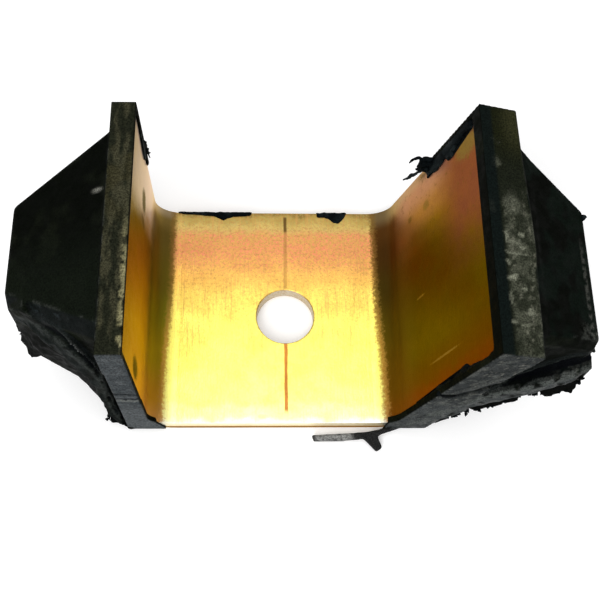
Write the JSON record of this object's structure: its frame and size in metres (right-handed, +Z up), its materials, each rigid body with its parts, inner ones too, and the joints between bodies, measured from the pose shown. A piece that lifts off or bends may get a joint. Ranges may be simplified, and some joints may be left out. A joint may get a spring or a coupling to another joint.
{
  "type": "engine mount",
  "caption": "Saddle-type engine mount: a folded plated steel bracket with a bolt hole in its web and a wedge-shaped rubber block moulded over each arm",
  "frame": {"origin": "on the axis of the bolt hole, in the plane of the web's underside", "axes": "+X runs across the trough from the upright left arm to the leaning right arm, +Y runs along the trough to the back, +Z is up, out of the web's underside through the bolt hole"},
  "size_m": [0.15, 0.0759, 0.0653],
  "materials": {
    "plated_steel": "yellow passivated zinc plate, satin, worn and stained",
    "rubber": "moulded black rubber, scuffed, with torn flash"
  },
  "bodies": {
    "root": {"saddle_bracket": "plated_steel", "left_rubber_block": "rubber", "right_rubber_block": "rubber"}
  },
  "joints": []
}
